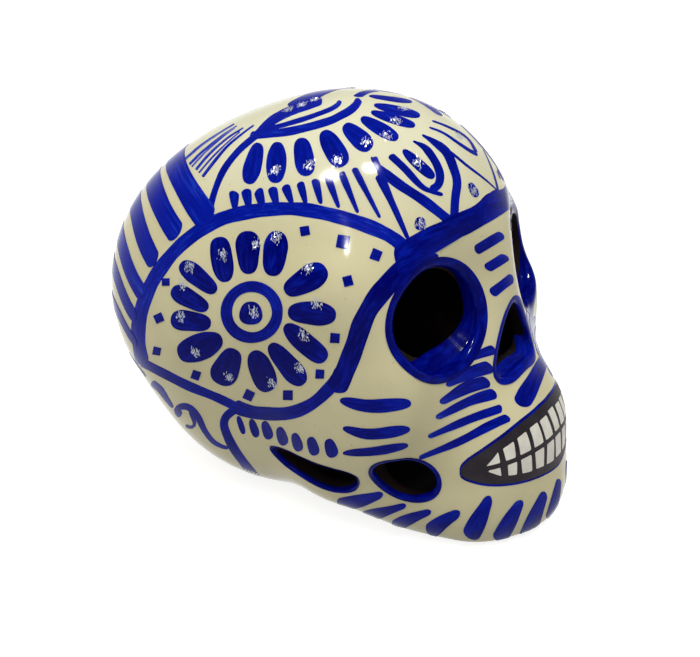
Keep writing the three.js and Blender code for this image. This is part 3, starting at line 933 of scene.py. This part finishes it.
# Behind and below the panel: running scroll, drops, and the stripes that meet at the back. Pixels, then mm.
backForm = {
    "scroll": [([(238, 407.5), (227, 415.6), (224, 424.6), (228, 437), (235, 450), (245, 464),
                 (257, 479)], 8.6, "band"),
               ([(151.5, 382.4), (159.6, 388.7), (166, 397.7), (173, 407.6)], 7, "flick"),
               ([(181.2, 415.6), (177, 410.3), (182, 406.3), (190, 408), (198.2, 417.4), (204.5, 430),
                 (212.6, 440.8), (221.5, 446.2), (228.7, 448)], 7, "flick"),
               ([(190, 411), (193.7, 420), (194.6, 424.6), (191, 427.3), (185.6, 425.5)], 3.4, "band")],
    "drops": [(241, 425, 6), (254, 428, 8), (267, 430, 10), (282, 436, 10), (297, 442, 10), (313, 446, 11),
              (331, 448, 13)],
    "dropHalf": (3, 9),
    "behind": [  # the scroll's run round the back
        ([(-44.6, 43.6, 38.6), (-42, 47, 41), (-37, 52.4, 42.6), (-32, 57.4, 40.5), (-26, 62.2, 36.6),
          (-19, 66.6, 36.4), (-13, 69.8, 40), (-7, 72.3, 42.8), (0, 73.8, 43.4)], 2.1, "band"),
        ([(-33.5, 56, 41.6), (-30, 59.6, 45.4), (-33.2, 57.4, 47.6), (-36, 54.4, 45.6)], 1.7, "flick"),
        ([(-3.4, 73.3, 43.3), (-1.6, 74.6, 46.4), (-4.4, 74.6, 47.4), (-6.4, 73.9, 45.8)], 1.6, "flick")],
    "stripes": [((-43.6, 14, 93.2), (-24.4, 43, 102.4), (-2.5, 57, 99), 7.6),
                ((-45.8, 24.5, 88.2), (-28.5, 49, 96), (-2.2, 66, 89), 6.6),
                ((-48.8, 31.6, 79.6), (-33.3, 53, 88.8), (-2, 71, 79.5), 6.2),
                ((-51, 35.6, 69.6), (-37, 56.2, 79), (-1.8, 74, 70), 5.8),
                ((-51.4, 39.6, 61.4), (-40, 57, 70), (-1.6, 75, 60.5), 5.2),
                ((-50.2, 41, 52.2), (-41, 56, 59), (-1.5, 74.5, 51.5), 4.8)],
}


def backMarks(form):
    marks = strokes(form["scroll"], load=0.86)
    a, b = form["dropHalf"]
    for x, y, width in form["drops"]:
        marks.append(brushMark([(x - a, y - b), (x, y), (x + a, y + b)], width, "petal", load=0.88))
    marks += strokes(form["behind"], load=0.84)
    return marks + [brushMark(points, width, load=0.74, dry=0.8) for *points, width in form["stripes"]]


layFilms("back_ornament", backMarks(backForm))


# The mouth: a blue edge, the black lens over it, and two rows of painted teeth. mm, from the front (x, z).
mouthForm = {
    "corner": (-30, 28.6),
    "top": [(-29.5, 30.4), (-27.4, 32.8), (-22, 36.2), (-14, 39), (-5, 40.2), (0, 40.3)],
    "bottom": [(-29.7, 27), (-28.4, 25.6), (-25.6, 24.2), (-20.7, 23.2), (-14, 22.3), (-5, 21.3), (0, 21)],
    "fringe": 0.7, "columns": 72, "rows": 16, "load": 0.9,
    "cornerGrow": 0.2, "cornerGap": 0.02,  # share of the fringe, and mm left free
    "toothEdges": [-2.6, 2.6, 7.8, 12.9, 17.6, 21.8, 26],
    "gap": 1.45, "biteLine": [(0, 31.6), (-14, 30.6), (-28, 28.7)],
    "marginTop": 2.2, "marginBottom": 2.6,
    "uneven": 0.3, "toothGrid": 8, "toothSquare": 14, "cornerTooth": 0.4,
    "lift": {"outline": 0.08, "black": 0.14, "teeth": 0.22},
}


def frontSpots(flat):  # front-view places, put on the skin
    start = np.stack([flat[:, 0], np.full(len(flat), skullForm["face"][1][1]), flat[:, 1]], -1)
    return exitAlong(start, np.tile([0.0, -1.0, 0.0], (len(flat), 1)))


def mouthEdges(form, grow):
    corner = form["corner"]
    top, bottom = (smoothCurve([corner] + form[edge], 60) for edge in ("top", "bottom"))
    side = -grow * form["cornerGrow"]
    return top + [side, grow], bottom + [side, -grow]


def lensMark(form, grow):
    top, bottom = mouthEdges(form, grow)
    share = np.sin(np.linspace(-1, 1, form["columns"]) * math.pi / 2)
    x = share * (-top[0, 0] - form["cornerGap"])
    high, low = (np.interp(-np.abs(x), edge[:, 0], edge[:, 1]) for edge in (top, bottom))
    side = np.linspace(0, 1, form["rows"])
    z = low[:, None] + (high - low)[:, None] * side
    spots = frontSpots(np.stack([np.repeat(x, form["rows"]), z.ravel()], -1))
    return {"spots": spots.reshape(len(x), form["rows"], 3), "closed": False, "both": False,
            "brush": brushField(x, side * 2 - 1, form["load"])}


def toothMark(corners, both):  # a patch between four front-view corners, with its own corners rounded
    n, square = mouthForm["toothGrid"], mouthForm["toothSquare"]
    u = np.sin(np.linspace(-1, 1, n) * math.pi / 2)
    a, b, c, d = (np.array(p) for p in corners)
    spots = []
    for s in u:
        for t in u:
            r = max(abs(s), abs(t)) / max((abs(s) ** square + abs(t) ** square) ** (1 / square), 1e-6)
            p, q = (s * r + 1) / 2, (t * r + 1) / 2
            spots.append((a * (1 - p) + b * p) * (1 - q) + (d * (1 - p) + c * p) * q)
    spots = frontSpots(np.array(spots)).reshape(n, n, 3)
    return {"spots": spots, "closed": False, "both": both, "brush": np.zeros((n, n, 3))}


def toothMarks(form):
    level = {0: smoothCurve(form["biteLine"], 40)[::-1],
             1: mouthEdges(form, -form["marginTop"])[0], -1: mouthEdges(form, -form["marginBottom"])[1]}

    def at(edge, x):
        return np.interp(-abs(x), level[edge][:, 0], level[edge][:, 1])

    marks, edges = [], form["toothEdges"]
    for inner, outer in zip(edges, edges[1:]):
        for way in (1, -1):
            shift = chance.uniform(-1, 1, 6) * form["uneven"]
            left, right = -outer + form["gap"] / 2, -inner - form["gap"] / 2
            base = [(x, at(0, x) + way * form["gap"] / 2) for x in (left + shift[0], right + shift[1])]
            tip = [(x, at(way, x) + shift[4]) for x in (left + shift[2], right + shift[3])]
            if outer == edges[-1]:  # the corner teeth come to a point
                tip[0] = (left, base[0][1] + form["cornerTooth"] * way)
            marks.append(toothMark([base[0], base[1], tip[1], tip[0]], inner > 0))
    return marks


def layMouth(form):
    lift, teeth = form["lift"], toothMarks(form)
    addFilms("mouth_outline", [lensMark(form, form["fringe"])], [lift["outline"]], cobalt)
    addFilms("mouth_black", [lensMark(form, 0)], [lift["black"]], mouthBlack)
    addFilms("teeth", teeth, [lift["teeth"]] * len(teeth), toothWhite)


layMouth(mouthForm)


# Dabs of silver glitter on the petals and dots. Pixels.
glitterForm = {
    "dabs": [(223, 254), (257, 244), (277, 237), (308, 269), (317, 303), (304, 335), (300, 368), (273, 383),
             (229, 376), (196, 352), (181, 316), (183, 284), (190, 266), (254, 312), (276, 170), (310, 165),
             (337, 161), (367, 142), (386, 136), (395, 121), (289, 110), (302, 105), (315, 100)],
    "forehead": [(418, 163), (420, 224), (473, 190)], "middle": [(403, 109), (459, 137)],
    "flakes": 56, "spread": 0.85, "limit": 1.8, "length": (0.25, 0.9), "width": (0.08, 0.18), "thick": 0.04,
    "lift": 0.24, "tilt": 0.3, "sway": 0.22,
    "flake": [(1, 0.45), (0.35, 1), (-0.6, 0.85), (-1, -0.3), (-0.4, -1), (0.6, -0.8)],
}


def layGlitter(form):
    kinds = ("dabs", "forehead", "middle")
    dabs, forehead, middle = (castToSkin(np.array(form[kind], float)) for kind in kinds)
    farther = otherSide(forehead, foreheadForm["axis"])
    centres = np.concatenate([dabs, dabs * [-1, 1, 1], forehead, farther, middle])
    spots = np.repeat(centres, form["flakes"], 0)
    away = np.clip(chance.normal(0, 1, spots.shape), -form["limit"], form["limit"])
    spots = spots + away * form["spread"]
    spots, normal = settle(outerGap, spots, form["lift"], passes=8, most=2)
    down = np.array([0, 0, -1.0]) - normal * -normal[:, 2:]
    down = unitOf(down + chance.normal(0, form["sway"], down.shape))
    normal = normal + chance.normal(0, form["tilt"], normal.shape)
    cross = unitOf(np.cross(normal, down))
    normal = np.cross(down, cross)
    length = chance.uniform(*form["length"], len(spots))[:, None] / 2
    width = chance.uniform(*form["width"], len(spots))[:, None] / 2
    ring = [spots + down * length * a + cross * width * b for a, b in form["flake"]]
    thick = normal * form["thick"]
    points = np.stack([p + thick for p in ring] + [p - thick for p in ring], 1).reshape(-1, 3)
    n = len(ring)
    faces = []
    for i in range(0, len(points), 2 * n):
        faces.append([i + k for k in range(n)])
        faces.append([i + n + k for k in reversed(range(n))])
        faces += [[i + k, i + n + k, i + n + (k + 1) % n, i + (k + 1) % n] for k in range(n)]
    addPiece("silver_glitter", points, None, faces, [silver])
    print("glitter:", len(spots), "flakes")


layGlitter(glitterForm)


# Floor, world and lamps.
stageForm = {
    "floorSize": 8.0, "floorTone": rgb(178, 178, 178), "floorGlow": 0.83,
    "worldStrength": 0.42, "zenith": 0.22, "skyRise": (0.0, 0.4),
    "distance": 900,  # mm, softbox and fill
    "softbox": {"aim": (0, 0, 60), "way": (-0.27, -0.25, 1), "size": (800, 800), "light": 2.6},
    "fill": {"aim": (0, 20, 50), "way": (-1, 0.75, 0.1), "size": (700, 500), "light": 0.62},
    "glints": {"pixels": [(331, 176), (370, 168)], "distance": 620, "size": (70, 60), "brightness": 600},
}


def seenDirectly(wire):  # 1 for rays that show the background itself
    rays = ("Is Camera Ray", "Is Glossy Ray", "Is Transmission Ray")
    camera, glossy, through = (wire.make("LightPath", out=name) for name in rays)
    return (camera + glossy + through).clamp()


def makeFloor(form):
    material, wire = newMaterial("pale_floor")
    matt = wire.make("BsdfDiffuse", (), {"Color": form["floorTone"]})
    glow = wire.make("Emission", (), {
        "Color": (1, 1, 1, 1), "Strength": seenDirectly(wire) * form["floorGlow"]})
    wire.make("OutputMaterial", (), {"Surface": wire.make("AddShader", (), {0: matt, 1: glow})})
    mesh = bpy.data.meshes.new("floor")
    h = form["floorSize"] / 2
    mesh.from_pydata([(-h, -h, 0), (h, -h, 0), (h, h, 0), (-h, h, 0)], [], [(0, 1, 2, 3)])
    mesh.materials.append(material)
    newObject("floor", mesh)


def makeWorld(form):
    world = bpy.data.worlds.new("studio")
    bpy.context.scene.world = world
    world.use_nodes = True
    tree = world.node_tree
    tree.nodes.clear()
    wire = Wire(tree)
    seen = seenDirectly(wire)
    strength = seen + (1 - seen) * form["worldStrength"]
    height = wire.make("SeparateXYZ", (), {0: wire.make("TexCoord", out="Generated")}, "Z")
    dim = form["zenith"]
    shade = (height.between(*form["skyRise"]) * seen).tint((1, 1, 1, 1), (dim, dim, dim, 1))
    sky = wire.make("Background", (), {"Color": shade, "Strength": strength})
    wire.make("OutputWorld", (), {"Surface": sky})


def makeLamp(name, aim, way, distance, size, energy):
    way = unitOf(np.array(way, float))
    data = bpy.data.lights.new(name, "AREA")
    data.shape = "RECTANGLE"
    data.size, data.size_y = size[0] * mm, size[1] * mm
    data.energy = energy
    lamp = newObject(name, data)
    level = unitOf(np.cross([0, 0, 1.0], way))
    placeBy(lamp, (level, np.cross(way, level), way), np.array(aim) + way * distance)
    return lamp


def makeLamps(form):
    for name in ("softbox", "fill"):
        box, distance = form[name], form["distance"]
        energy = box["light"] * math.pi * (distance * mm) ** 2
        makeLamp(name, box["aim"], box["way"], distance, box["size"], energy).visible_glossy = False
    glints = form["glints"]
    for number, pixel in enumerate(glints["pixels"]):
        spot = castToSkin(np.array([pixel], float))
        normal = settle(outerGap, spot)[1][0]
        toEye = unitOf(viewEye - spot[0])
        way = 2 * (toEye @ normal) * normal - toEye  # the glaze mirrors this lamp at the given pixel
        size = glints["size"]
        energy = glints["brightness"] * math.pi * size[0] * size[1] * mm * mm
        lamp = makeLamp(f"glint_{number}", spot[0], way, glints["distance"], size, energy)
        lamp.visible_diffuse = False


makeFloor(stageForm)
makeWorld(stageForm)
makeLamps(stageForm)
bpy.context.scene.view_settings.view_transform = "Standard"
print("stage set")
